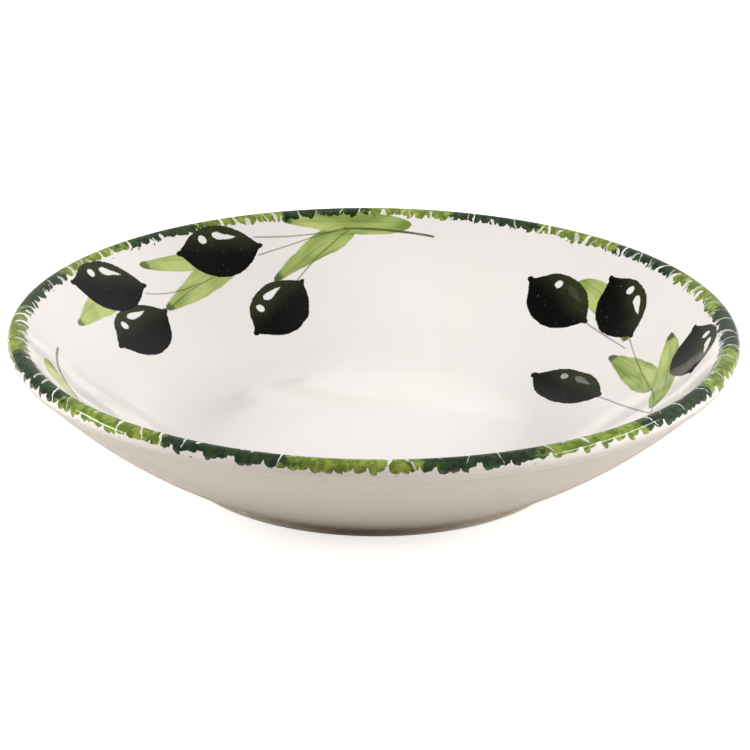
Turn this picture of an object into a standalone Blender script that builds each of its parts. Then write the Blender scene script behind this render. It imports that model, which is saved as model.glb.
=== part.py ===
"""A glazed dinner bowl: a turned clay body, the glaze over it and the glaze inside its foot ring.

Everything is turned about Z. The bowl stands on the bare edge of its foot ring at Z = 0, in metres.
Profiles are lists of (radius, height) points.
"""

from math import acos, atan2, cos, pi, radians, sin, sqrt, tan

import bmesh
import bpy
from mathutils import Vector

# Overall sizes of the glazed bowl
RIM_DIAMETER = 0.230
HEIGHT = 0.0465
FOOT_DIAMETER = 0.1225

# Glaze: the gap stands for the bond between clay and glass
GLAZE_THICKNESS = 0.0005
GLAZE_GAP = 0.0003
BARE_FOOT_HEIGHT = 0.0010

# Rim of the clay body: a round lip, then a short collar that leans in and steps back to the wall
LIP_RADIUS = 0.0023
COLLAR_LEAN = radians(35.0)
COLLAR_SIDE = 0.0024
COLLAR_EDGE_RADIUS = 0.0010
COLLAR_STEP_WIDTH = 0.0010
COLLAR_STEP_DROP = 0.0004

# Wall of the clay body: one arc from the collar to the foot ring, with its thickness at the foot
WALL_ARC_RADIUS = 0.1645
WALL_THICKNESS = 0.0044

# Well of the clay body
BASE_THICKNESS = 0.0052
WELL_BLEND_RADIUS = 0.042

# Foot ring of the clay body
FOOT_HEIGHT = 0.0027
FOOT_WIDTH = 0.0062
FOOT_RECESS = 0.0030
FOOT_FILLET = 0.0016
FOOT_EDGE_RADIUS = 0.0007
# Most of the hollow's side that its fillet may take
FILLET_SHARE = 0.8

# Finishes: base colour and roughness
CLAY_FINISH = ((0.78, 0.70, 0.58), 0.85)
COAT_FINISH = ((0.86, 0.83, 0.79), 0.08)
FOOT_GLAZE_FINISH = ((0.84, 0.81, 0.77), 0.12)

# Facets
TURN_STEPS = 60
BLEND_STEPS = 4
INNER_WALL_STEPS = 5
LIP_STEPS = 8
OUTER_WALL_STEPS = 7
CORNER_STEPS = 2
FILLET_STEPS = 3

# Worked out from the sizes above
COAT = GLAZE_GAP + GLAZE_THICKNESS
CLAY_RIM_RADIUS = RIM_DIAMETER / 2 - COAT
CLAY_TOP = HEIGHT - COAT
FOOT_RADIUS = FOOT_DIAMETER / 2
WELL_FLOOR = FOOT_RECESS + BASE_THICKNESS
MERGE_DISTANCE = 1e-6
SHARP_ANGLE = pi / 6


def arc_points(centre, radius, start, end, steps):
    """Points on an arc from one angle to another, both ends included."""
    turn = (end - start) / steps
    angles = [start + turn * index for index in range(steps + 1)]
    return [centre + radius * Vector((cos(angle), sin(angle))) for angle in angles]


def angle_to(centre, point):
    """The angle at which a point lies as seen from a centre."""
    return atan2(point.y - centre.y, point.x - centre.x)


def rounded_corner(before, corner, after, radius, steps):
    """The arc that rounds the corner between two straight stretches."""
    back = (before - corner).normalized()
    ahead = (after - corner).normalized()
    half_opening = acos(max(-1.0, min(1.0, back.dot(ahead)))) / 2
    trim = radius / tan(half_opening)
    centre = corner + (back + ahead).normalized() * (radius / sin(half_opening))
    start = angle_to(centre, corner + back * trim)
    turn = angle_to(centre, corner + ahead * trim) - start
    turn = (turn + pi) % (2 * pi) - pi
    return arc_points(centre, radius, start, start + turn, steps)


def offset_path(path, distance):
    """The path moved sideways to its left, with mitred corners, so that each stretch stays parallel."""
    moved = []
    for index, point in enumerate(path):
        before = path[max(index - 1, 0)]
        after = path[min(index + 1, len(path) - 1)]
        into = (point - before) if index else (after - point)
        out_of = (after - point) if index < len(path) - 1 else (point - before)
        left_into = Vector((-into.y, into.x)).normalized()
        left_out = Vector((-out_of.y, out_of.x)).normalized()
        mitre = (left_into + left_out).normalized()
        moved.append(point + mitre * (distance / mitre.dot(left_out)))
    return moved


def circle_crossing(first, first_radius, second, second_radius):
    """Where two circles cross, on the left of the way from the first centre to the second."""
    way = second - first
    along = (first_radius ** 2 - second_radius ** 2 + way.length_squared) / (2 * way.length)
    aside = sqrt(first_radius ** 2 - along ** 2)
    ahead = way.normalized()
    return first + ahead * along + Vector((-ahead.y, ahead.x)) * aside


def clay_surface():
    """Profile of the clay under the glaze, from the middle of the well over the lip to the foot."""
    # Lip, and the collar's side that leaves it where the lip has turned to the collar's lean
    lip_centre = Vector((CLAY_RIM_RADIUS - LIP_RADIUS, CLAY_TOP - LIP_RADIUS))
    lip_end = lip_centre + LIP_RADIUS * Vector((cos(COLLAR_LEAN), -sin(COLLAR_LEAN)))
    collar_edge = lip_end - COLLAR_SIDE * Vector((sin(COLLAR_LEAN), cos(COLLAR_LEAN)))

    # Outer wall from under the collar to the foot, and the inner wall that touches the lip
    wall_top = collar_edge - Vector((COLLAR_STEP_WIDTH, COLLAR_STEP_DROP))
    foot_corner = Vector((FOOT_RADIUS, FOOT_HEIGHT))
    outer_centre = circle_crossing(foot_corner, WALL_ARC_RADIUS, wall_top, WALL_ARC_RADIUS)
    inner_radius = WALL_ARC_RADIUS - WALL_THICKNESS
    inner_foot = foot_corner + (outer_centre - foot_corner).normalized() * WALL_THICKNESS
    inner_centre = circle_crossing(inner_foot, inner_radius, lip_centre, inner_radius + LIP_RADIUS)

    # Well: flat in the middle, then an arc that touches the floor and the inner wall
    blend_reach = inner_radius - WELL_BLEND_RADIUS
    blend_height = WELL_FLOOR + WELL_BLEND_RADIUS
    blend_offset = sqrt(blend_reach ** 2 - (inner_centre.y - blend_height) ** 2)
    blend_centre = Vector((inner_centre.x + blend_offset, blend_height))
    blend_end = angle_to(inner_centre, blend_centre)
    path = [Vector((0.0, WELL_FLOOR))]
    path += arc_points(blend_centre, WELL_BLEND_RADIUS, -pi / 2, blend_end, BLEND_STEPS)

    # Inner wall up to where it meets the lip, and the lip over the top to the collar's side
    inner_end = angle_to(inner_centre, lip_centre)
    path += arc_points(inner_centre, inner_radius, blend_end, inner_end, INNER_WALL_STEPS)[1:]
    path += arc_points(lip_centre, LIP_RADIUS, inner_end + pi, -COLLAR_LEAN, LIP_STEPS)[1:]

    # Collar's lower edge, the small step under it, and the wall's outer arc
    path += rounded_corner(lip_end, collar_edge, wall_top, COLLAR_EDGE_RADIUS, CORNER_STEPS)
    wall = arc_points(outer_centre, WALL_ARC_RADIUS, angle_to(outer_centre, wall_top),
                      angle_to(outer_centre, foot_corner), OUTER_WALL_STEPS)
    path += wall[:-1]

    # Fillet into the foot's side, down to where the glaze ends
    side_end = Vector((FOOT_RADIUS, BARE_FOOT_HEIGHT))
    path += rounded_corner(wall[-2], foot_corner, side_end, FOOT_FILLET, FILLET_STEPS)
    path.append(side_end)
    return path


def foot_hollow_surface():
    """Profile of the clay inside the foot ring, from the ring's inner side to the middle of the base."""
    ring_inside = FOOT_RADIUS - FOOT_WIDTH
    side_start = Vector((ring_inside, BARE_FOOT_HEIGHT))
    corner = Vector((ring_inside, FOOT_RECESS))
    middle = Vector((0.0, FOOT_RECESS))
    fillet_radius = min(FOOT_FILLET, (FOOT_RECESS - BARE_FOOT_HEIGHT) * FILLET_SHARE)
    fillet = rounded_corner(side_start, corner, middle, fillet_radius, FILLET_STEPS)
    return [side_start] + fillet + [middle]


def resting_edge():
    """Profile of the bare edge that the bowl stands on, from the outside in."""
    outer_top = Vector((FOOT_RADIUS, BARE_FOOT_HEIGHT))
    outer_corner = Vector((FOOT_RADIUS, 0.0))
    inner_corner = Vector((FOOT_RADIUS - FOOT_WIDTH, 0.0))
    inner_top = Vector((FOOT_RADIUS - FOOT_WIDTH, BARE_FOOT_HEIGHT))
    outer = rounded_corner(outer_top, outer_corner, inner_corner, FOOT_EDGE_RADIUS, CORNER_STEPS)
    inner = rounded_corner(outer_corner, inner_corner, inner_top, FOOT_EDGE_RADIUS, CORNER_STEPS)
    return outer + inner


def turned_object(name, profile, material, parent):
    """Object made by spinning a profile, which starts and ends on the axis, once round Z."""
    mesh = bpy.data.meshes.new(name)
    bm = bmesh.new()
    verts = [bm.verts.new((point.x, 0.0, point.y)) for point in profile]
    edges = [bm.edges.new(pair) for pair in zip(verts, verts[1:])]
    bmesh.ops.spin(bm, geom=verts + edges, cent=(0, 0, 0), axis=(0, 0, 1), angle=2 * pi,
                   steps=TURN_STEPS, use_merge=True)
    bmesh.ops.remove_doubles(bm, verts=bm.verts, dist=MERGE_DISTANCE)
    bmesh.ops.recalc_face_normals(bm, faces=bm.faces)
    bm.to_mesh(mesh)
    bm.free()
    mesh.shade_smooth()
    mesh.set_sharp_from_angle(angle=SHARP_ANGLE)
    mesh.materials.append(material)
    obj = bpy.data.objects.new(name, mesh)
    obj.parent = parent
    bpy.context.collection.objects.link(obj)
    return obj


def plain_material(name, colour, roughness):
    """Non-metal material with one colour."""
    material = bpy.data.materials.new(name)
    material.use_nodes = True
    shader = material.node_tree.nodes["Principled BSDF"]
    shader.inputs["Base Color"].default_value = (*colour, 1.0)
    shader.inputs["Roughness"].default_value = roughness
    shader.inputs["Metallic"].default_value = 0.0
    return material


def glaze_layer(surface):
    """Closed-up profile of the glaze on a stretch of clay, whose open side is on its left."""
    underside = offset_path(surface, GLAZE_GAP)
    topside = offset_path(surface, COAT)
    runs_inwards = surface[0].x > surface[-1].x
    return underside[::-1] + topside if runs_inwards else underside + topside[::-1]


def main():
    for old in list(bpy.data.objects):
        bpy.data.objects.remove(old, do_unlink=True)

    bowl = bpy.data.objects.new("dinner_bowl", None)
    bpy.context.collection.objects.link(bowl)

    covered = clay_surface()
    hollow = foot_hollow_surface()
    clay = plain_material("fired_clay", *CLAY_FINISH)
    coat = plain_material("white_glaze", *COAT_FINISH)
    foot = plain_material("foot_white_glaze", *FOOT_GLAZE_FINISH)

    turned_object("clay_body", covered + resting_edge() + hollow, clay, bowl)
    turned_object("glaze_coat", glaze_layer(covered), coat, bowl)
    turned_object("foot_glaze", glaze_layer(hollow), foot, bowl)


main()
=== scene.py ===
from math import acos, atan2, cos, pi, radians, sin, sqrt, tan

import bmesh
import bpy
import numpy as np
from mathutils import Matrix, Vector


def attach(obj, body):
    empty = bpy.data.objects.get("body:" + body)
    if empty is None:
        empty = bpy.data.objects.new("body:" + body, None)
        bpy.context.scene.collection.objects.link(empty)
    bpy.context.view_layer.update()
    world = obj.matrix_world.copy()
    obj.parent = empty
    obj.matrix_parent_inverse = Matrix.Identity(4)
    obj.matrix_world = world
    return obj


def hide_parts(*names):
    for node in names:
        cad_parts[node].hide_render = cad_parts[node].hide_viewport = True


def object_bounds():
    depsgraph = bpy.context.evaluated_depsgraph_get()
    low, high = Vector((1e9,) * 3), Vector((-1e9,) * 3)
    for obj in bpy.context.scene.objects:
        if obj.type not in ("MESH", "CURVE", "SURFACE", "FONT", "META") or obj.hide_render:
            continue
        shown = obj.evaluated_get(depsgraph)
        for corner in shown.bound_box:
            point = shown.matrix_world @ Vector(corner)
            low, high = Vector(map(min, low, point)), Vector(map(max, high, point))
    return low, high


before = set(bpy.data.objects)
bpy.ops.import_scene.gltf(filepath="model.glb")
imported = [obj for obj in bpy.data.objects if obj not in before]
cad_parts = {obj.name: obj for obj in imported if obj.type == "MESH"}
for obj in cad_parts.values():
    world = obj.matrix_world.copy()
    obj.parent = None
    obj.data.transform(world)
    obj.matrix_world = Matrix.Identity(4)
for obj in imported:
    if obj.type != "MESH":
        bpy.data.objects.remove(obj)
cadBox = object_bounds()
mm = 0.001
print("frame loaded:", ", ".join(sorted(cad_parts)))


# Shader maths: a wire is one socket, and sums on wires add Math nodes
class Wire:
    def __init__(self, bench, socket):
        self.bench = bench
        self.socket = socket

    def maths(self, operation, *values):
        return self.bench.maths(operation, self, *values)

    def __add__(self, value):
        return self.maths("ADD", value)

    def __sub__(self, value):
        return self.maths("SUBTRACT", value)

    def __rsub__(self, value):
        return self.bench.maths("SUBTRACT", value, self)

    def __mul__(self, value):
        return self.maths("MULTIPLY", value)

    def __truediv__(self, value):
        return self.maths("DIVIDE", value)

    def __pow__(self, value):
        return self.maths("POWER", value)

    def __abs__(self):
        return self.maths("ABSOLUTE")

    def __gt__(self, value):
        return self.maths("GREATER_THAN", value)

    def __lt__(self, value):
        return self.maths("LESS_THAN", value)

    __radd__ = __add__
    __rmul__ = __mul__

    def atLeast(self, value):
        return self.maths("MAXIMUM", value)

    def atMost(self, value):
        return self.maths("MINIMUM", value)

    def clipped(self):      # kept from 0 to 1
        return self.atLeast(0).atMost(1)

    def dome(self):      # 1 at 0, then down a quarter circle to 0 at 1
        return (1 - self ** 2).atLeast(0) ** 0.5

    def between(self, low, high):      # 0 at low, 1 at high, smooth between them and level outside
        return self.bench.node("ShaderNodeMapRange", {"Value": self, "From Min": low, "From Max": high},
                               interpolation_type="SMOOTHSTEP")

    def other(self, output):      # another output of the same node
        return Wire(self.bench, self.socket.node.outputs[output])


class Bench:
    def __init__(self, name, world=None):
        self.material = world or bpy.data.materials.new(name)
        self.material.use_nodes = True
        self.tree = self.material.node_tree
        self.tree.nodes.clear()

    def node(self, kind, sockets=None, output=0, **settings):
        made = self.tree.nodes.new(kind)
        for name, value in settings.items():
            setattr(made, name, value)
        for name, value in (sockets or {}).items():
            if isinstance(value, Wire):
                self.tree.links.new(value.socket, made.inputs[name])
            else:
                made.inputs[name].default_value = value
        return Wire(self, made.outputs[output]) if made.outputs else None

    def maths(self, operation, *values):
        return self.node("ShaderNodeMath", dict(enumerate(values)), operation=operation)

    def noise(self, place, scale, detail=2.0, roughness=0.5):
        return self.node("ShaderNodeTexNoise", {"Vector": place, "Scale": scale, "Detail": detail,
                                                "Roughness": roughness}, "Fac")

    def swing(self, place, scale, detail=2.0, roughness=0.5):      # noise to both sides of 0
        return self.noise(place, scale, detail, roughness) - 0.5

    def luck(self, number):      # three random shares that belong to a number
        drawn = self.node("ShaderNodeTexWhiteNoise", {"W": number}, "Color", noise_dimensions="1D")
        return self.split(drawn)

    def mix(self, share, first, second):      # sockets 6 and 7 and output 2 are the node's colours
        first, second = [(*c, 1) if isinstance(c, tuple) else c for c in (first, second)]
        return self.node("ShaderNodeMix", {0: share, 6: first, 7: second}, 2, data_type="RGBA")

    def split(self, vector):
        parts = self.node("ShaderNodeSeparateXYZ", {0: vector})
        return [parts.other(axis) for axis in "XYZ"]

    def join(self, x, y, z):
        return self.node("ShaderNodeCombineXYZ", {0: x, 1: y, 2: z})

    def attribute(self, name, output="Vector"):
        return self.node("ShaderNodeAttribute", {}, output, attribute_name=name)

    def spot(self, kind="Object"):
        return self.node("ShaderNodeTexCoord", {}, kind)

    def bump(self, height, strength, distance):
        return self.node("ShaderNodeBump", {"Height": height, "Strength": strength,
                                            "Distance": distance}, "Normal")

    def finish(self, sockets):
        shader = self.node("ShaderNodeBsdfPrincipled", sockets)
        self.node("ShaderNodeOutputMaterial", {"Surface": shader})
        return self.material


# The turned section of the fired clay in mm, as the solids have it.
# The glaze lies from bond to coat above it
bowl = {"coat": 0.8, "bond": 0.3, "lip": 2.3, "collarSide": 2.4, "collarRound": 1.0, "stepIn": 1.0,
        "stepDown": 0.4, "creaseRound": 2.0, "wallArc": 164.5, "wall": 4.4, "base": 5.2, "wellArc": 42.0,
        "footRadius": 61.25, "footHeight": 2.7, "footWide": 6.2, "footHollow": 3.0, "footFillet": 1.6,
        "footRound": 0.7, "bareFoot": 1.0}
bowl = {name: size * mm for name, size in bowl.items()}
bowl["lean"] = radians(35)
bowl["rim"] = cadBox[1].x - bowl["coat"]
bowl["top"] = cadBox[1].z - bowl["coat"]
bowl["floor"] = bowl["footHollow"] + bowl["base"]
turning = {"merge": 0.001 * mm, "sharp": radians(30)}


def bearing(centre, point):
    return atan2(point.y - centre.y, point.x - centre.x)


def onArc(centre, radius, angle):
    return centre + radius * Vector((cos(angle), sin(angle)))


def crossing(first, firstRadius, second, secondRadius):      # on the left of the way from first to second
    way = second - first
    along = (firstRadius ** 2 - secondRadius ** 2 + way.length_squared) / (2 * way.length)
    aside = sqrt(firstRadius ** 2 - along ** 2)
    ahead = way.normalized()
    return first + ahead * along + Vector((-ahead.y, ahead.x)) * aside


def roundedCorner(back, corner, ahead, radius):      # back and ahead are directions away from the corner
    back, ahead = back.normalized(), ahead.normalized()
    half = acos(back.dot(ahead)) / 2
    trim = radius / tan(half)
    centre = corner + (back + ahead).normalized() * (radius / sin(half))
    start = bearing(centre, corner + back * trim)
    turn = (bearing(centre, corner + ahead * trim) - start + pi) % (2 * pi) - pi
    return centre, radius, start, start + turn


# Each arc is its centre, radius, start and end, and 1 or -1 as a cover on the clay widens or narrows it
def coveredArcs():
    b = bowl
    lipAt = Vector((b["rim"] - b["lip"], b["top"] - b["lip"]))
    down = Vector((-sin(b["lean"]), -cos(b["lean"])))
    collarEdge = onArc(lipAt, b["lip"], -b["lean"]) + b["collarSide"] * down
    wallTop = collarEdge - Vector((b["stepIn"], b["stepDown"]))
    footCorner = Vector((b["footRadius"], b["footHeight"]))
    outerAt = crossing(footCorner, b["wallArc"], wallTop, b["wallArc"])
    innerArc = b["wallArc"] - b["wall"]
    innerFoot = footCorner + (outerAt - footCorner).normalized() * b["wall"]
    innerAt = crossing(innerFoot, innerArc, lipAt, innerArc + b["lip"])
    wellZ = b["floor"] + b["wellArc"]
    wellX = innerAt.x + sqrt((innerArc - b["wellArc"]) ** 2 - (innerAt.y - wellZ) ** 2)
    wellAt = Vector((wellX, wellZ))
    wellEnd = bearing(innerAt, wellAt)
    innerEnd = bearing(innerAt, lipAt)
    wallStart, wallEnd = bearing(outerAt, wallTop), bearing(outerAt, footCorner)
    wallDown = Vector((sin(wallStart), -cos(wallStart)))
    wallUp = Vector((-sin(wallEnd), cos(wallEnd)))
    collarRound = roundedCorner(-down, collarEdge, wallTop - collarEdge, b["collarRound"])
    crease = roundedCorner(collarEdge - wallTop, wallTop, wallDown, b["creaseRound"])
    fillet = roundedCorner(wallUp, footCorner, Vector((0, -1)), b["footFillet"])
    return {"well": (wellAt, b["wellArc"], -pi / 2, wellEnd, -1),
            "innerWall": (innerAt, innerArc, wellEnd, innerEnd, -1),
            "lip": (lipAt, b["lip"], innerEnd + pi, -b["lean"], 1),
            "collarRound": (*collarRound, 1),
            "crease": (*crease, -1),
            "outerWall": (outerAt, b["wallArc"], crease[3] - pi, fillet[2] - pi, 1),
            "footFillet": (*fillet, -1)}


# Pens draw the section in the XZ plane of a bmesh, on from the vertex that they are given
def lineTo(bm, vert, point, steps=1):
    start, end = vert.co.copy(), Vector((point.x, 0, point.y))
    for step in range(steps):
        vert = bmesh.ops.extrude_vert_indiv(bm, verts=[vert])["verts"][0]
        vert.co = start.lerp(end, (step + 1) / steps)
    return vert


def arcTo(bm, vert, centre, turn, steps):
    swept = bmesh.ops.spin(bm, geom=[vert], cent=(centre.x, 0, centre.y), axis=(0, -1, 0), angle=turn,
                           steps=steps)
    return [piece for piece in swept["geom_last"] if isinstance(piece, bmesh.types.BMVert)][0]


# From the middle of the well over the lip to the foot's side, with a cover of this thickness on the clay
def drawCovered(bm, cover, rings):
    first = last = bm.verts.new((0, 0, bowl["floor"] + cover))
    for name, (centre, radius, start, end, swell) in coveredArcs().items():
        straight, steps = rings[name]
        if straight:
            last = lineTo(bm, last, onArc(centre, radius + swell * cover, start), straight)
        last = arcTo(bm, last, centre, end - start, steps)
    return first, lineTo(bm, last, Vector((bowl["footRadius"] + cover, bowl["bareFoot"])))


# Inside the foot ring, from its side to the axis, after a vertex that is already drawn or on its own
def drawHollow(bm, cover, rings, before=None):
    side = bowl["footRadius"] - bowl["footWide"] - cover
    ceiling = bowl["footHollow"] - cover
    filletSteps, ceilingSteps = rings
    if before:
        first = lineTo(bm, before, Vector((side, bowl["bareFoot"])))
    else:
        first = bm.verts.new((side, 0, bowl["bareFoot"]))
    centre, radius, start, end = roundedCorner(Vector((0, -1)), Vector((side, ceiling)), Vector((-1, 0)),
                                               bowl["footFillet"] - cover)
    last = lineTo(bm, first, onArc(centre, radius, start))
    last = arcTo(bm, last, centre, end - start, filletSteps)
    return first, lineTo(bm, last, Vector((0, ceiling)), ceilingSteps)


def turnPiece(name, bm, segments):
    bmesh.ops.spin(bm, geom=bm.verts[:] + bm.edges[:], cent=(0, 0, 0), axis=(0, 0, 1), angle=2 * pi,
                   steps=segments, use_merge=True)
    bmesh.ops.remove_doubles(bm, verts=bm.verts, dist=turning["merge"])
    bmesh.ops.recalc_face_normals(bm, faces=bm.faces)
    mesh = bpy.data.meshes.new(name)
    bm.to_mesh(mesh)
    bm.free()
    mesh.shade_smooth()
    mesh.set_sharp_from_angle(angle=turning["sharp"])
    piece = bpy.data.objects.new(name, mesh)
    bpy.context.scene.collection.objects.link(piece)
    return piece


# Glaze coat: steps along each straight stretch and arc of the seen face and of the face on the clay
glazeCoat = {"segments": 448,
             "seen": {"well": (10, 14), "innerWall": (0, 32), "lip": (0, 18), "collarRound": (3, 6),
                      "crease": (1, 5), "outerWall": (0, 20), "footFillet": (0, 5)},
             "bonded": {"well": (2, 4), "innerWall": (0, 8), "lip": (0, 8), "collarRound": (1, 2),
                        "crease": (1, 2), "outerWall": (0, 8), "footFillet": (0, 2)}}


# How far each point of a face is from the middle of the well, in mm along the section.
# The face on the clay counts down from -1, so that the two can be told apart
def runAlong(bm, first, last, bonded=False):
    run = bm.verts.layers.float["run"]
    vert, before, length = first, None, 0.0
    while True:
        vert[run] = -1 - length / mm if bonded else length / mm
        if vert == last:
            return
        after = [edge.other_vert(vert) for edge in vert.link_edges if edge.other_vert(vert) != before][0]
        length += (after.co - vert.co).length
        before, vert = vert, after


# Layout for baking: discs and rings, the seen inside and rim large, the rest in the corners.
# Each has a middle and the reach of its two edges; split is the run that parts inside from outside
bakeLayout = {"split": 134, "overlap": 2, "footEdge": 0.5, "margin": 1,
              "seenInside": ((0.5, 0.5), 0.0, 0.49), "seenOutside": ((0.09, 0.09), 0.08, 0.03),
              "bondedInside": ((0.91, 0.09), 0.0, 0.08), "bondedOutside": ((0.09, 0.91), 0.08, 0.03)}


def gathered(source, name, width=1, kind=float):      # one number, or one row of them, for each element
    values = np.empty(len(source) * width, dtype=kind)
    source.foreach_get(name, values)
    return values.reshape(-1, width) if width > 1 else values


def layOut(mesh):
    spots = gathered(mesh.vertices, "co", 3)
    turn = np.arctan2(spots[:, 1], spots[:, 0])
    corners = gathered(mesh.loops, "vertex_index", kind=int)
    starts = gathered(mesh.polygons, "loop_start", kind=int)
    sizes = gathered(mesh.polygons, "loop_total", kind=int)
    run = gathered(mesh.attributes["run"].data, "value")
    end, split = run.max(), bakeLayout["split"]
    run, turn = run[corners], turn[corners]
    lowest = np.repeat(np.minimum.reduceat(run, starts), sizes)
    highest = np.repeat(np.maximum.reduceat(run, starts), sizes)
    seen = highest > 0
    outside = np.where(seen, highest, -lowest) > split
    along = np.where(seen & (run < 0), end + bakeLayout["footEdge"], np.abs(run))
    inner, outer = (0, split), (split - bakeLayout["overlap"], end + bakeLayout["margin"])
    spread = np.empty((len(corners), 2))
    for name, chosen, (low, high) in (("seenInside", seen & ~outside, inner),
                                      ("seenOutside", seen & outside, outer),
                                      ("bondedInside", ~seen & ~outside, inner),
                                      ("bondedOutside", ~seen & outside, outer)):
        middle, near, far = bakeLayout[name]
        reach = near + (far - near) * (along[chosen] - low) / (high - low)
        spread[chosen, 0] = middle[0] + reach * np.cos(turn[chosen])
        spread[chosen, 1] = middle[1] + reach * np.sin(turn[chosen])
    mesh.uv_layers.new(name="OFBake").data.foreach_set("uv", spread.ravel())


def makeGlazeCoat():
    bm = bmesh.new()
    bm.verts.layers.float.new("run")
    bondedFirst, bondedLast = drawCovered(bm, bowl["bond"], glazeCoat["bonded"])
    runAlong(bm, bondedFirst, bondedLast, bonded=True)
    first, last = drawCovered(bm, bowl["coat"], glazeCoat["seen"])
    runAlong(bm, first, last)
    bm.edges.new((last, bondedLast))
    piece = turnPiece("glazeCoat", bm, glazeCoat["segments"])
    layOut(piece.data)
    return piece


coat = makeGlazeCoat()
print("glaze coat:", len(coat.data.polygons), "faces")


# Clay body and the glaze inside its foot ring; hollow is the steps of the fillet and of the ceiling there
clayBody = {"segments": 256, "edgeSteps": 4, "hollow": (4, 4),
            "covered": {"well": (3, 8), "innerWall": (0, 12), "lip": (0, 10), "collarRound": (1, 3),
                        "crease": (1, 3), "outerWall": (0, 12), "footFillet": (0, 4)}}
footGlaze = {"segments": 256, "hollow": (6, 4)}


def makeClayBody():
    bm = bmesh.new()
    last = drawCovered(bm, 0, clayBody["covered"])[1]
    outer, inner = bowl["footRadius"], bowl["footRadius"] - bowl["footWide"]
    for corner, back, ahead in ((Vector((outer, 0)), Vector((0, 1)), Vector((-1, 0))),
                                (Vector((inner, 0)), Vector((1, 0)), Vector((0, 1)))):
        centre, radius, start, end = roundedCorner(back, corner, ahead, bowl["footRound"])
        last = lineTo(bm, last, onArc(centre, radius, start))
        last = arcTo(bm, last, centre, end - start, clayBody["edgeSteps"])
    drawHollow(bm, 0, clayBody["hollow"], last)
    return turnPiece("clayBody", bm, clayBody["segments"])


def makeFootGlaze():
    bm = bmesh.new()
    seen = drawHollow(bm, bowl["coat"], footGlaze["hollow"])
    bonded = drawHollow(bm, bowl["bond"], footGlaze["hollow"])
    bm.edges.new((seen[0], bonded[0]))
    return turnPiece("footGlaze", bm, footGlaze["segments"])


clay = makeClayBody()
foot = makeFootGlaze()
print("clay and foot glaze:", len(clay.data.polygons), len(foot.data.polygons), "faces")


# Painted sprigs, laid out on the glaze rolled flat, in mm from the middle of the well.
# shine is the strength of an olive's dot and drop of light, nub the half width of its ends
olives = {"wide": 19.8, "nub": 0.13, "places": [
    {"tip": (-87.3, 30.9), "stem": (-73.4, 62.6), "shine": (1.0, 1.0)},
    {"tip": (-110.4, 45.8), "stem": (-82.3, 68.4), "shine": (1.0, 1.0)},
    {"tip": (-74.0, 87.7), "stem": (-42.0, 104.0), "shine": (1.0, 1.0)},
    {"tip": (-41.2, 65.8), "stem": (-25.7, 93.9), "shine": (1.0, 1.0)},
    {"tip": (56.2, 87.1), "stem": (75.0, 57.0), "shine": (1.0, 0.1)},
    {"tip": (86.6, 72.3), "stem": (89.5, 37.5), "shine": (1.0, 1.0)},
    {"tip": (112.8, 18.5), "stem": (107.2, -16.3), "shine": (1.0, 1.0)},
    {"tip": (52.8, 43.2), "stem": (75.0, 14.6), "shine": (0.45, 0.3), "wide": 15.8, "nub": 0.19}]}
# belly is where a leaf is widest, blunt the width left at its tip, full how late it narrows
leaves = {"places": [
    {"base": (-92.0, 59.0), "tip": (-103.4, 27.2), "bend": 0.6, "depth": 0.06,
     "wide": 10.5, "belly": 0.3, "blunt": 0.21, "full": 1.3},
    {"base": (-64.5, 89.5), "tip": (-86.6, 75.0), "bend": 0.0, "depth": 0.15,
     "wide": 7.4, "belly": 0.15, "blunt": 0.34, "full": 1.4},
    {"base": (-50.0, 101.0), "tip": (-73.6, 62.2), "bend": 0.0, "depth": 0.3,
     "wide": 11.4, "belly": 0.3, "blunt": 0.22, "full": 1.7},
    {"base": (-7.9, 116.2), "tip": (-36.4, 90.4), "bend": 2.4, "depth": 0.5,
     "wide": 10.2, "belly": 0.28, "blunt": 0.24, "full": 1.15},
    {"base": (14.4, 117.0), "tip": (-36.0, 115.4), "bend": 1.6, "depth": 0.55,
     "wide": 8.8, "belly": 0.4, "blunt": 0.26, "full": 1.5},
    {"base": (-97.5, -39.0), "tip": (-111.0, -15.6), "bend": -1.4, "depth": 0.03,
     "wide": 10.4, "belly": 0.4, "blunt": 0.26, "full": 1.5},
    {"base": (74.0, 77.0), "tip": (87.6, 37.2), "bend": -3.2, "depth": 0.28,
     "wide": 11.0, "belly": 0.3, "blunt": 0.28, "full": 1.5},
    {"base": (93.0, -4.5), "tip": (80.2, 34.9), "bend": 2.0, "depth": 0.44,
     "wide": 11.2, "belly": 0.4, "blunt": 0.2, "full": 1.6},
    {"base": (91.7, -23.0), "tip": (103.7, 25.3), "bend": 0.9, "depth": 0.52,
     "wide": 9.8, "belly": 0.4, "blunt": 0.24, "full": 2.8}]}
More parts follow.
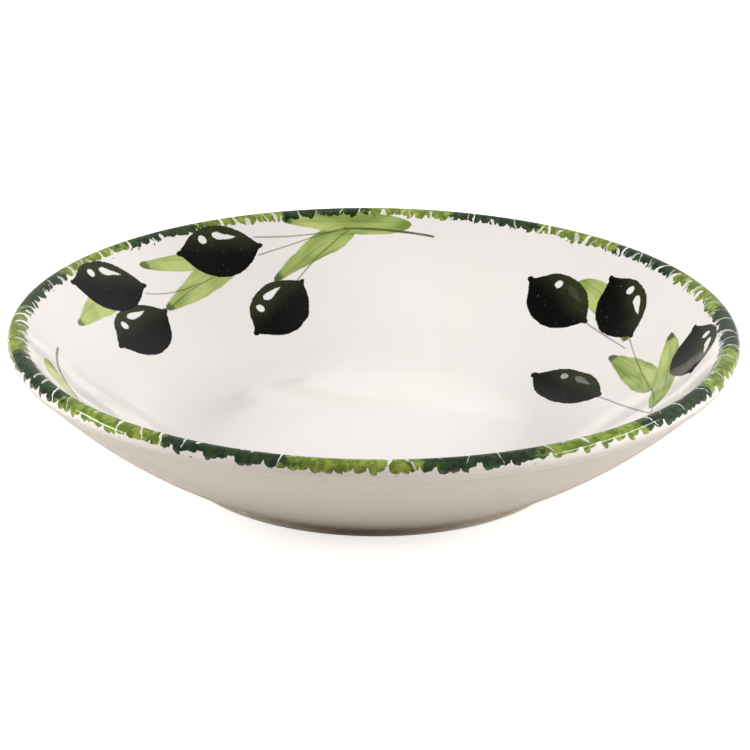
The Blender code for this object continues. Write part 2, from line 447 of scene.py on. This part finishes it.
stems = {"places": [
    {"path": ((-46.0, 106.0), (-28.0, 110.8), (-10.0, 115.4)), "depth": 0.6, "wide": 0.6},
    {"path": ((-12.0, 115.5), (6.0, 115.3), (22.5, 111.5)), "depth": 0.95, "wide": 0.85},
    {"path": ((-43.2, 99.4), (-27.0, 109.0), (-11.0, 116.0)), "depth": 0.6, "wide": 0.55},
    {"path": ((-28.2, 92.5), (-20.0, 105.0), (-9.5, 115.4)), "depth": 0.65, "wide": 0.55},
    {"path": ((-82.2, 64.5), (-72.0, 71.5), (-63.0, 80.5)), "depth": 0.55, "wide": 0.6},
    {"path": ((-72.5, 63.0), (-66.0, 75.5), (-58.0, 85.5)), "depth": 0.55, "wide": 0.5},
    {"path": ((-108.4, 2.4), (-106.0, -14.3), (-97.1, -32.3)), "depth": 0.75, "wide": 1.0},
    {"path": ((74.4, 57.0), (81.0, 45.0), (86.4, 33.8)), "depth": 0.6, "wide": 0.6},
    {"path": ((88.5, 38.0), (90.2, 15.0), (92.6, -5.0)), "depth": 0.6, "wide": 0.6},
    {"path": ((92.5, -3.0), (92.3, -16.0), (90.0, -30.0)), "depth": 0.6, "wide": 0.6},
    {"path": ((74.2, 14.2), (80.6, 1.5), (90.0, -26.0)), "depth": 0.6, "wide": 0.65},
    {"path": ((107.4, -16.0), (105.0, -21.0), (101.0, -26.0)), "depth": 0.35, "wide": 0.5},
    {"path": ((-72.4, -63.5), (-85.5, -47.5), (-96.0, -31.0)), "depth": 0.6, "wide": 0.6},
    {"path": ((-66.2, -36.4), (-82.0, -36.0), (-95.5, -31.5)), "depth": 0.6, "wide": 0.6}]}
# How far past a motif's outline it may paint, and how far no other motif shares its layer, in mm
motifZone = {"paints": 3.0, "keeps": 9.0}
# The near side has the right-hand sprig again, turned by degrees round the well; numbers pick its motifs
nearSprigs = {"left": {"turn": 198, "olives": (4, 5, 7), "leaves": (6,), "stems": (7,)},
              "right": {"turn": -82, "olives": (4, 5, 6, 7), "leaves": (6, 7, 8),
                        "stems": (7, 8, 9, 10, 11)}}


def turnedMotif(motif, degrees):
    around = Matrix.Rotation(radians(degrees), 2)
    turned = {name: around @ Vector(motif[name]) for name in ("tip", "stem", "base") if name in motif}
    if "path" in motif:
        turned["path"] = [around @ Vector(point) for point in motif["path"]]
    return {**motif, **turned}


for sprig in nearSprigs.values():
    for name, motifs in (("olives", olives), ("leaves", leaves), ("stems", stems)):
        chosen = [motifs["places"][index] for index in sprig[name]]
        motifs["places"] += [turnedMotif(motif, sprig["turn"]) for motif in chosen]


def rolledFlat(mesh):      # each point's place on the glaze rolled flat, and its run along the section
    spots = gathered(mesh.vertices, "co", 3)
    run = gathered(mesh.attributes["run"].data, "value")
    across = np.maximum(np.hypot(spots[:, 0], spots[:, 1]), 1e-9)
    return spots[:, :2] / across[:, None] * run[:, None], run


# Share of the way from start to end, mm to the right of that way, and the way's length
def measured(flat, start, end, bend=0.0):
    start, end = np.array(start), np.array(end)
    length = np.hypot(*(end - start))
    ahead = (end - start) / length
    along = (flat - start) @ ahead / length
    right = (flat - start) @ np.array((ahead[1], -ahead[0]))
    return along, right - bend * 4 * along * (1 - along), length


def outsideBy(along, right, length, reach):      # mm past the ends or sides of a motif
    return np.maximum(np.abs(along - 0.5) * length - length / 2, np.abs(right) - reach)


# Each gives a share along, a share across, a strength and how far outside the motif a point lies
def oliveMeasures(flat, olive):
    along, right, length = measured(flat, olive["stem"], olive["tip"])
    reach = olive.get("wide", olives["wide"]) / 2
    return along * 2 - 1, right / reach, 1.0, outsideBy(along, right, length, reach)


# A leaf's strength is its length in whole mm, with its depth of colour after the point
def leafMeasures(flat, leaf):
    along, right, length = measured(flat, leaf["base"], leaf["tip"], leaf["bend"])
    reach = leaf["wide"] / 2
    return along, right / reach, round(length) + leaf["depth"], outsideBy(along, right, length, reach)


def stemMeasures(flat, stem):
    start, middle, end = stem["path"]
    bend = measured(np.array([middle]), start, end)[1][0]
    along, right, length = measured(flat, start, end, bend)
    return along, right / (stem["wide"] / 2), stem["depth"], outsideBy(along, right, length, stem["wide"])


# The form of each olive and leaf, kept beside its measures
def oliveForm(olive):
    return *olive["shine"], olive.get("nub", olives["nub"])


def leafForm(leaf):
    return leaf["belly"], leaf["blunt"], leaf["full"]


# Motifs that lie apart share a layer, one vector to a point; the strength ends past the motif's outline
def paintLayers(mesh, name, places, measures, form=None):
    flat, run = rolledFlat(mesh)
    layers, forms = [], []
    for place in places:
        along, across, strength, away = measures(flat, place)
        zone = (run >= 0) & (away < motifZone["keeps"])
        free = [index for index, layer in enumerate(layers) if not layer[zone].any()]
        if not free:
            free = [len(layers)]
            layers.append(np.zeros((len(flat), 3)))
            forms.append(np.zeros((len(flat), 3)))
        layer = layers[free[0]]
        layer[zone, 0], layer[zone, 1] = along[zone], across[zone]
        layer[zone, 2] = np.where(away[zone] < motifZone["paints"], strength, 0)
        if form:
            forms[free[0]][zone] = form(place)
    names = [f"{name}{index}" for index in range(len(layers))]
    for layerName, layer, layerForm in zip(names, layers, forms):
        mesh.attributes.new(layerName, "FLOAT_VECTOR", "POINT").data.foreach_set("vector", layer.ravel())
        if form:
            shapes = mesh.attributes.new(layerName + "Form", "FLOAT_VECTOR", "POINT")
            shapes.data.foreach_set("vector", layerForm.ravel())
    print("paint layers:", name, len(names))
    return names


oliveLayers = paintLayers(coat.data, "olive", olives["places"], oliveMeasures, oliveForm)
leafLayers = paintLayers(coat.data, "leaf", leaves["places"], leafMeasures, leafForm)
stemLayers = paintLayers(coat.data, "stem", stems["places"], stemMeasures)


# Colours of the paint
paints = {"glaze": (0.88, 0.838, 0.808), "warmGlaze": (0.86, 0.813, 0.778), "bare": (0.86, 0.84, 0.80),
          # warm dark colour above the foot: clay through thin glaze, and painted shade near the floor
          "thinGlazeAndFootShade": (0.72, 0.60, 0.475),
          "oliveBlack": (0.0045, 0.0048, 0.0042), "oliveGreen": (0.044, 0.050, 0.020),
          "leafPale": (0.51, 0.58, 0.185), "leafDeep": (0.16, 0.25, 0.024),
          "leafTip": (0.045, 0.088, 0.004), "stem": (0.08, 0.115, 0.03),
          "rimBlack": (0.003, 0.017, 0.003), "rimDark": (0.018, 0.058, 0.009),
          "rimMid": (0.12, 0.18, 0.012), "rimLight": (0.28, 0.365, 0.045),
          "clayPale": (0.66, 0.56, 0.43), "clayDark": (0.50, 0.40, 0.29)}
paintedFrom = 0.01      # a motif's strength above which its layer paints

# Leaf brush: root and edge in shares of the leaf, tip and cap in mm from its tip
leafBrush = {"waver": 0.24, "sway": 0.03, "tipRound": 1.3, "trim": 0.05, "soft": (-0.04, 0.09),
             "cover": 0.96, "patch": 1.8, "patchGrid": (0.7, 2.0, 0.37),
             "streak": 1.0, "streakGrid": (2.6, 0.9, 0.71),
             "edge": 0.16, "edgeFrom": (0.76, 1.0), "root": 0.5, "rootFrom": (0.2, -0.02),
             "tip": 0.2, "tipFrom": (9, 2.5), "capFrom": (4.6, 2.9), "capRag": 1.4,
             "capLeast": 0.74, "capByDepth": 0.5, "capMost": 0.95, "capless": 0.04}


def leafWidth(along, toTip, belly, blunt, full):      # share of the half width that the brush fills
    rise = ((belly - along) / belly).atLeast(0).dome()
    share = ((along - belly) / (1 - belly)).clipped()
    return rise * (1 - (1 - blunt) * share ** full) * (toTip / leafBrush["tipRound"]).clipped() ** 0.5


def paintLeaf(bench, colour, layer, spot):
    brush = leafBrush
    along, across, code = bench.split(bench.attribute(layer))
    belly, blunt, full = bench.split(bench.attribute(layer + "Form"))
    length, depth = code.maths("FLOOR"), code.maths("FRACT")
    wobble = bench.swing(spot, 150)
    across = across + wobble * brush["waver"]
    along = along + wobble * brush["sway"]
    toTip = (1 - along) * length
    width = leafWidth(along, toTip, belly.atLeast(0.1), blunt, full)
    inside = ((1 + brush["trim"]) * width - brush["trim"] - abs(across)).between(*brush["soft"])
    inside = inside * (code > paintedFrom)
    # Pale to deep green: washes, brush streaks, a darker edge, root and tip
    x, y, z = brush["patchGrid"]
    patch = bench.swing(bench.join(across * x, along * y, length * z), 1.5, detail=1)
    x, y, z = brush["streakGrid"]
    streak = bench.swing(bench.join(across * x, along * y, length * z), 2.0)
    edge = (abs(across) / width.atLeast(0.05)).between(*brush["edgeFrom"])
    tone = depth + patch * brush["patch"] + streak * brush["streak"] + edge * brush["edge"]
    tone = tone + brush["root"] * along.between(*brush["rootFrom"])
    tone = tone + brush["tip"] * toTip.between(*brush["tipFrom"])
    tone = bench.mix(tone.clipped(), paints["leafPale"], paints["leafDeep"])
    cap = (toTip + bench.swing(spot, 500) * brush["capRag"]).between(*brush["capFrom"])
    cap = cap * (brush["capLeast"] + brush["capByDepth"] * depth).atMost(brush["capMost"])
    cap = cap * (depth > brush["capless"])
    return bench.mix(inside * brush["cover"], colour, bench.mix(cap, tone, paints["leafTip"]))


# Stem brush: wander and softness in half widths, fade in shares of the stem's length
stemBrush = {"pressLeast": 0.75, "press": 0.5, "wander": 2.0, "soft": 0.35, "fade": 0.02}


def paintStem(bench, colour, layer, spot):
    brush = stemBrush
    along, across, depth = bench.split(bench.attribute(layer))
    press = brush["pressLeast"] + brush["press"] * bench.noise(spot, 110)
    wander = bench.swing(spot, 70) * brush["wander"]
    fade = brush["fade"]
    ends = along.between(-fade, fade) * (1 - along.between(1 - fade, 1 + fade))
    inside = (press - abs(across + wander)).between(-brush["soft"], brush["soft"]) * ends
    return bench.mix((inside * depth * press).atMost(1), colour, paints["stem"])


# Olive brush: along runs from -1 at the stem to 1 at the tip, across from -1 to 1
oliveBrush = {"waver": 0.12, "rag": 0.08, "sway": 0.04, "stretch": 1.045, "plump": 2.3, "slim": 1.39,
              "slimByNub": 3, "tipSlim": 0.16, "tipFrom": (0.55, 0.85), "endRound": 0.06,
              "nubBlend": 0.08, "trim": 0.03, "soft": (-0.014, 0.018),
              "greenFrom": (0.0, 1.1), "greenSpread": 0.5, "greenLean": 0.2,
              "grainLeast": 0.2, "grain": 1.1, "speck": 0.3, "speckFrom": (0.84, 0.87),
              "dotAt": (0.30, 0.51), "dotSize": (0.088, 0.156), "dotSoft": (1.15, 0.85),
              "dropStart": 0.05, "dropLong": 0.55, "dropNose": 0.28, "dropFat": 0.165, "dropTaper": 0.75,
              "dropAside": 0.64, "dropSlant": 0.17, "dropSoft": (0.0, 0.035), "dropFade": 1.5}


def oliveInside(along, across, nub):
    brush = oliveBrush
    body = (1 - abs(along * brush["stretch"]) ** brush["plump"]).atLeast(0)
    body = body ** (brush["slim"] - brush["slimByNub"] * nub)
    body = body * (1 - brush["tipSlim"] * along.between(*brush["tipFrom"]))
    ends = ((1 - abs(along)) / brush["endRound"]).clipped() ** 0.5
    outline = body.maths("SMOOTH_MAX", nub, brush["nubBlend"]) * ends
    return ((1 + brush["trim"]) * outline - brush["trim"] - abs(across)).between(*brush["soft"])


# A round dot of light, and a drop that thins towards the stem
def oliveShine(along, across, dots, drops):
    brush = oliveBrush
    dotAlong, dotAcross = brush["dotAt"]
    dotLong, dotWide = brush["dotSize"]
    dot = ((along - dotAlong) / dotLong) ** 2 + ((across - dotAcross) / dotWide) ** 2
    tail = (brush["dropStart"] - along) / brush["dropLong"]
    nose = brush["dropNose"]
    front = ((nose - tail) / nose).atLeast(0).dome()
    taper = (1 - ((tail - nose) / (1 - nose)).clipped()) ** brush["dropTaper"]
    aside = abs(across - brush["dropAside"] + brush["dropSlant"] * tail)
    drop = (brush["dropFat"] * front * taper - aside).between(*brush["dropSoft"])
    return (dot.between(*brush["dotSoft"]) * dots).atLeast(drop * drops ** brush["dropFade"])


def paintOlive(bench, colour, layer, spot):
    brush = oliveBrush
    along, across, zone = bench.split(bench.attribute(layer))
    dots, drops, nub = bench.split(bench.attribute(layer + "Form"))
    wave = bench.swing(spot, 210)
    across = across + wave * brush["waver"] + bench.swing(spot, 900, roughness=0.7) * brush["rag"]
    along = along + wave * brush["sway"]
    inside = oliveInside(along, across, nub) * (zone > paintedFrom)
    grain = brush["grainLeast"] + brush["grain"] * bench.noise(spot, 800, 3, 0.7)
    green = across + brush["greenSpread"] * bench.noise(spot, 120, 3, 0.6) - brush["greenLean"] * along
    green = (green.between(*brush["greenFrom"]) * grain).atMost(1)
    tone = bench.mix(green, paints["oliveBlack"], paints["oliveGreen"])
    speck = bench.noise(spot, 1900, 0).between(*brush["speckFrom"]) * brush["speck"]
    tone = bench.mix(speck, tone, paints["bare"])
    colour = bench.mix(inside, colour, tone)
    return bench.mix(inside * oliveShine(along, across, dots, drops), colour, paints["bare"])


# Sponged rim: lobes inside and outside the lip, parted by slashes, in runs of dark and of light green.
# Lengths in mm, angles in degrees
rim = {"radius": 113, "blob": 2.8, "runs": 10, "darkAt": 251, "lead": 13, "leadAt": 160,
       "lobeRound": 0.62, "lobeLeast": 0.4, "rightDeeper": 0.8, "soft": 0.1, "cover": 0.97,
       "inside": {"lobe": 3.0, "low": 2.3, "high": 4.4, "place": 11.3,
                  "slow": 1.6, "blotch": 1.4, "ragged": 1.6},
       "outside": {"lobe": 3.2, "low": 2.9, "high": 5.5, "place": 57.9,
                   "slow": 1.0, "blotch": 1.0, "ragged": 1.3},
       "specks": {"chosen": (0.77, 0.80), "from": -5, "to": 5.6, "soft": 0.3, "cover": 0.9},
       "greens": {"runLuck": 0.5, "runBlotch": 1.2, "runSoft": 0.2, "cellLuck": 0.25, "cellEdge": 0.14,
                  "mottle": (0.33, 0.60)}}
# Bare gaps between touches of the sponge, two sets round the lip
slashSets = [
    {"count": 92, "share": 0.8, "seed": 0.37, "thin": 0.08, "thick": 0.5, "reach": (-2.5, 6.5)},
    {"count": 150, "share": 0.75, "seed": 3.73, "thin": 0.06, "thick": 0.55, "reach": (-3.5, 0.5)}]
slash = {"otherLuck": 217.3, "stray": 0.5, "slant": 1.5, "curl": 2.2, "flare": 1.2, "narrowing": 0.2,
         "narrowest": 0.35, "rag": 0.45, "endRag": 2, "soft": (-0.08, 0.10), "endSoft": 0.2,
         "clearLeast": 0.55, "clear": 0.6}


def findRuns(mesh):      # where along the section the lip's top and the end at the foot are
    heights = gathered(mesh.vertices, "co", 3)[:, 2]
    run = gathered(mesh.attributes["run"].data, "value")
    return {"lipRun": float(run[np.argmax(heights)]), "footRun": float(run.max())}


rim.update(findRuns(coat.data))


# How far past the lip's top the paint goes, in mm
def spongeEdge(bench, around, slow, blotch, ragged, edge):
    cell = bench.node("ShaderNodeTexVoronoi", {"W": around + edge["place"], "Scale": 1 / edge["lobe"]},
                      "Distance", voronoi_dimensions="1D")
    luck = rim["lobeLeast"] + (1 - rim["lobeLeast"]) * bench.split(cell.other("Color"))[0]
    lobe = edge["low"] + (edge["high"] - edge["low"]) * (cell / rim["lobeRound"]).dome() * luck
    return lobe + slow * edge["slow"] + blotch * edge["blotch"] + ragged * edge["ragged"]


def slashes(bench, turn, over, spot, gaps, ragged):      # each at its own place, slant, width and length
    lap = turn / (2 * pi) * gaps["count"]
    gap = lap.maths("FLOOR").maths("FLOORED_MODULO", gaps["count"]) + gaps["seed"]
    place, slant, thick = bench.luck(gap)
    there, ends, press = bench.luck(gap + slash["otherLuck"])
    step = 2 * pi * rim["radius"] / gaps["count"]
    aside = (lap.maths("FRACT") - 0.5 - (place - 0.5) * slash["stray"]) * step
    aside = aside + (slant - 0.5) * slash["slant"] * over + bench.swing(spot, 300) * slash["curl"]
    narrow = (slash["flare"] - slash["narrowing"] * over).atLeast(slash["narrowest"])
    wide = (gaps["thin"] + gaps["thick"] * thick * thick) * narrow + ragged * slash["rag"]
    low, high = gaps["reach"]
    length = low + (high - low) * ends - over + ragged * slash["endRag"]
    bare = (wide - abs(aside)).between(*slash["soft"]) * (there < gaps["share"])
    bare = bare * length.between(-slash["endSoft"], slash["endSoft"])
    return bare * (slash["clearLeast"] + slash["clear"] * press).atMost(1)


# Dark and light in turns round the lip, mottled by the sponge's cells
def rimGreens(bench, turn, over, spot, blotch):
    greens = rim["greens"]
    place = bench.join(turn * rim["radius"], over, 0)
    cell = bench.node("ShaderNodeTexVoronoi", {"Vector": place, "Scale": 1 / rim["blob"]}, "Distance",
                      voronoi_dimensions="2D")
    runLuck, cellLuck = bench.split(cell.other("Color"))[1:]
    lead = ((turn - radians(rim["leadAt"])).maths("COSINE") * 0.5 + 0.5) ** 2 * radians(rim["lead"])
    run = ((turn + lead - radians(rim["darkAt"])) * rim["runs"]).maths("COSINE")
    run = run + (runLuck - 0.5) * greens["runLuck"] + blotch * greens["runBlotch"]
    mottle = bench.noise(spot, 600, 3, 0.6) + (cellLuck - 0.5) * greens["cellLuck"]
    mottle = (mottle - cell * greens["cellEdge"]).between(*greens["mottle"])
    dark = bench.mix(mottle, paints["rimBlack"], paints["rimDark"])
    light = bench.mix(mottle, paints["rimMid"], paints["rimLight"])
    return bench.mix(run.between(greens["runSoft"], -greens["runSoft"]), dark, light)


def paintRim(bench, colour, spot):
    x, y = bench.split(spot)[:2]
    turn = y.maths("ARCTAN2", x)
    over = bench.attribute("run", "Fac") - rim["lipRun"]      # mm past the lip's top, down the outside
    facing = bench.node("ShaderNodeVectorMath", {0: bench.join(x, y, 0)}, operation="NORMALIZE")
    slow = bench.swing(facing, 9, detail=1)
    ragged = bench.swing(spot, 1000, roughness=0.6)
    blotch = bench.swing(spot, 420, roughness=0.6)
    inner, outer = [spongeEdge(bench, turn * rim["radius"], slow, blotch, ragged, rim[side])
                    for side in ("inside", "outside")]
    inner = inner + rim["rightDeeper"] * turn.maths("COSINE").atLeast(0)
    soft = rim["soft"]
    within = (over + inner).between(-soft, soft) * (outer - over).between(-soft, soft)
    for gaps in slashSets:
        within = within * (1 - slashes(bench, turn, over, spot, gaps, ragged))
    specks = rim["specks"]
    speck = bench.noise(spot, 620, 0).between(*specks["chosen"])
    speck = speck * (over - specks["from"]).between(0, specks["soft"])
    speck = speck * (specks["to"] - over).between(0, specks["soft"])
    within = within.atLeast(speck * specks["cover"])
    return bench.mix(within * rim["cover"], colour, rimGreens(bench, turn, over, spot, blotch))


# Glazes and clay: near the foot the glaze turns darker and warmer, from a distance in mm and by a share
# of how much shows there: partly clay showing through thin glaze, partly painted shade near the floor
finishes = {"cloud": (0.35, 0.7), "thinAndShadeFrom": (8.0, 3.0), "thin": 0.85,
            "glazeRough": 0.06, "footRough": 0.1, "glazeIndex": 1.5,
            "ripple": 0.05, "rippleDeep": 0.4 * mm,
            "clayRough": 0.85, "clayGrain": 0.6, "clayTint": 0.3, "clayBump": 0.35, "clayDeep": 0.15 * mm}


def whiteGlaze(bench, spot, scale):
    cloud = bench.noise(spot, scale, 3).between(*finishes["cloud"])
    return bench.mix(cloud, paints["glaze"], paints["warmGlaze"])


def paintedGlaze():
    bench = Bench("paintedGlaze")
    spot = bench.spot()
    colour = whiteGlaze(bench, spot, 22)
    # Darker and warmer towards the foot: thin glaze over clay, and painted shade near the floor
    toFoot = rim["footRun"] - bench.attribute("run", "Fac")
    thin = toFoot.between(*finishes["thinAndShadeFrom"]) * finishes["thin"]
    colour = bench.mix(thin, colour, paints["thinGlazeAndFootShade"])
    for layer in leafLayers:
        colour = paintLeaf(bench, colour, layer, spot)
    for layer in stemLayers:
        colour = paintStem(bench, colour, layer, spot)
    colour = paintRim(bench, colour, spot)
    for layer in oliveLayers:
        colour = paintOlive(bench, colour, layer, spot)
    bump = bench.bump(bench.noise(spot, 70), finishes["ripple"], finishes["rippleDeep"])
    return bench.finish({"Base Color": colour, "Roughness": finishes["glazeRough"],
                         "IOR": finishes["glazeIndex"], "Normal": bump})


def plainGlaze():
    bench = Bench("footGlaze")
    colour = whiteGlaze(bench, bench.spot(), 40)
    return bench.finish({"Base Color": colour, "Roughness": finishes["footRough"],
                         "IOR": finishes["glazeIndex"]})


def bareClay():
    bench = Bench("bareClay")
    spot = bench.spot()
    grain = bench.noise(spot, 1800, 3, 0.7)
    tint = bench.noise(spot, 60, 3) * finishes["clayTint"]
    share = grain.between(*finishes["cloud"]) * finishes["clayGrain"] + tint
    colour = bench.mix(share, paints["clayPale"], paints["clayDark"])
    bump = bench.bump(grain, finishes["clayBump"], finishes["clayDeep"])
    return bench.finish({"Base Color": colour, "Roughness": finishes["clayRough"], "Normal": bump})


for piece, node, slot, material in ((coat, "glaze_coat", "white_glaze", paintedGlaze()),
                                    (clay, "clay_body", "fired_clay", bareClay()),
                                    (foot, "foot_glaze", "white_glaze", plainGlaze())):
    piece.data.materials.append(material)
    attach(piece, "root")
    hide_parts(node)
print("materials done")


# Pale floor, with a hole inside the foot ring; distances from the bowl's axis in metres
paleFloor = {"half": 8.0, "footHole": 57 * mm, "colour": (0.68, 0.635, 0.575),
             "nearGlow": 0.72, "farGlow": 1.0, "glowFrom": (0.1, 0.5),
             "mirrorGlow": 0.25, "mirrorFrom": (0.12, 0.45)}


def makeFloor():
    bm = bmesh.new()
    bmesh.ops.create_grid(bm, x_segments=1, y_segments=1, size=paleFloor["half"])
    mesh = bpy.data.meshes.new("floor")
    bm.to_mesh(mesh)
    bm.free()
    floor = bpy.data.objects.new("floor", mesh)
    bpy.context.scene.collection.objects.link(floor)
    bench = Bench("paleFloor")
    path = bench.node("ShaderNodeLightPath", {}, "Is Camera Ray")
    mirrored = path.other("Is Glossy Ray").atLeast(path.other("Is Transmission Ray"))
    away = bench.node("ShaderNodeVectorMath", {0: bench.spot()}, "Value", operation="LENGTH")
    near, far = paleFloor["nearGlow"], paleFloor["farGlow"]
    seen = path * (near + (far - near) * away.between(*paleFloor["glowFrom"]))
    seen = seen + mirrored * paleFloor["mirrorGlow"] * away.between(*paleFloor["mirrorFrom"])
    paint = bench.node("ShaderNodeBsdfDiffuse", {"Color": (*paleFloor["colour"], 1)})
    white = bench.mix(seen, (0, 0, 0), (1, 1, 1))
    glow = bench.node("ShaderNodeEmission", {"Color": white, "Strength": 1})
    sheet = bench.node("ShaderNodeAddShader", {0: paint, 1: glow})
    # Clear from below and inside the foot ring, to show the underside
    below = bench.node("ShaderNodeNewGeometry", {}, "Backfacing").atLeast(away < paleFloor["footHole"])
    clear = bench.node("ShaderNodeBsdfTransparent")
    sheet = bench.node("ShaderNodeMixShader", {0: below, 1: sheet, 2: clear})
    bench.node("ShaderNodeOutputMaterial", {"Surface": sheet})
    floor.data.materials.append(bench.material)


# Sky: light from behind on the right, overhead and below, halved in mirrors, white to the camera
sky = {"shade": (0.02, 0.02, 0.02), "light": (0.73, 0.73, 0.73), "towards": 0.7, "sideFrom": (-0.3, 0.7),
       "highLoss": 0.75, "highFrom": (0.55, 0.85), "overhead": 0.6, "overheadFrom": (0.9, 1.0),
       "belowFrom": (-0.05, -0.3), "mirrorLoss": 0.5}


def makeWorld():
    world = bpy.data.worlds.new("studio")
    bpy.context.scene.world = world
    bench = Bench("studio", world)
    x, y, z = bench.split(bench.spot("Generated"))
    share = (sky["towards"] * x + sky["towards"] * y).between(*sky["sideFrom"])
    share = share * (1 - sky["highLoss"] * z.between(*sky["highFrom"]))
    share = share.atLeast(sky["overhead"] * z.between(*sky["overheadFrom"]))
    share = share.atLeast(z.between(*sky["belowFrom"]))
    path = bench.node("ShaderNodeLightPath", {}, "Is Camera Ray")
    share = share * (1 - sky["mirrorLoss"] * path.other("Is Glossy Ray"))
    colour = bench.mix(path, bench.mix(share, sky["shade"], sky["light"]), (1, 1, 1))
    back = bench.node("ShaderNodeBackground", {"Color": colour, "Strength": 1})
    bench.node("ShaderNodeOutputWorld", {"Surface": back})


# Degrees: azimuth, anticlockwise from the right, with elevation; roll; size as seen from the bowl
lampFar = 1.4      # metres
lamps = {"rightStrip": {"at": (-12, 31), "roll": 19, "size": (45, 5), "power": 5.3, "mirrored": True},
         "rightBox": {"at": (-12, 31), "roll": 19, "size": (45, 18), "power": 13.7, "mirrored": False},
         "leftStrip": {"at": (180, 23), "roll": -33, "size": (30, 5), "power": 4.4, "mirrored": True},
         "leftBox": {"at": (180, 23), "roll": -33, "size": (30, 18), "power": 11.6, "mirrored": False},
         "backFill": {"at": (115, 40), "roll": 0, "size": (25, 25), "power": 1.3, "mirrored": False},
         "leftFill": {"at": (170, 35), "roll": 0, "size": (12, 12), "power": 6, "mirrored": False}}


def facingFrom(place, back, roll):      # at a place, looking the other way from back, rolled by degrees
    turned = back.to_track_quat("Z", "Y").to_matrix().to_4x4()
    return Matrix.Translation(place) @ turned @ Matrix.Rotation(radians(roll), 4, "Z")


def makeLamps():
    for name, lamp in lamps.items():
        light = bpy.data.lights.new(name, "AREA")
        light.shape = "RECTANGLE"
        light.size, light.size_y = [2 * lampFar * tan(radians(width / 2)) for width in lamp["size"]]
        light.energy = lamp["power"]
        holder = bpy.data.objects.new(name, light)
        holder.visible_glossy = lamp["mirrored"]
        azimuth, elevation = [radians(angle) for angle in lamp["at"]]
        way = Vector((cos(azimuth) * cos(elevation), sin(azimuth) * cos(elevation), sin(elevation)))
        holder.matrix_world = facingFrom(way * lampFar, way, lamp["roll"])
        bpy.context.scene.collection.objects.link(holder)


# Camera: lens and sensor in mm, up and roll in degrees, target in mm
eye = {"lens": 149.661, "sensor": 36, "far": 1.0, "up": 23.0314, "roll": 0.5363,
       "target": (0.479, 0.0, 28.158), "clip": (0.01, 50)}


def makeCamera():
    camera = bpy.data.cameras.new("camera")
    camera.lens = eye["lens"]
    camera.sensor_width = eye["sensor"]
    camera.clip_start, camera.clip_end = eye["clip"]
    holder = bpy.data.objects.new("camera", camera)
    up = radians(eye["up"])
    place = Vector((0, -cos(up), sin(up))) * eye["far"]
    back = (place - Vector(eye["target"]) * mm).normalized()
    holder.matrix_world = facingFrom(place, back, eye["roll"])
    bpy.context.scene.collection.objects.link(holder)
    bpy.context.scene.camera = holder


makeFloor()
makeWorld()
makeLamps()
makeCamera()
bpy.context.scene.view_settings.view_transform = "Standard"
print("studio done")
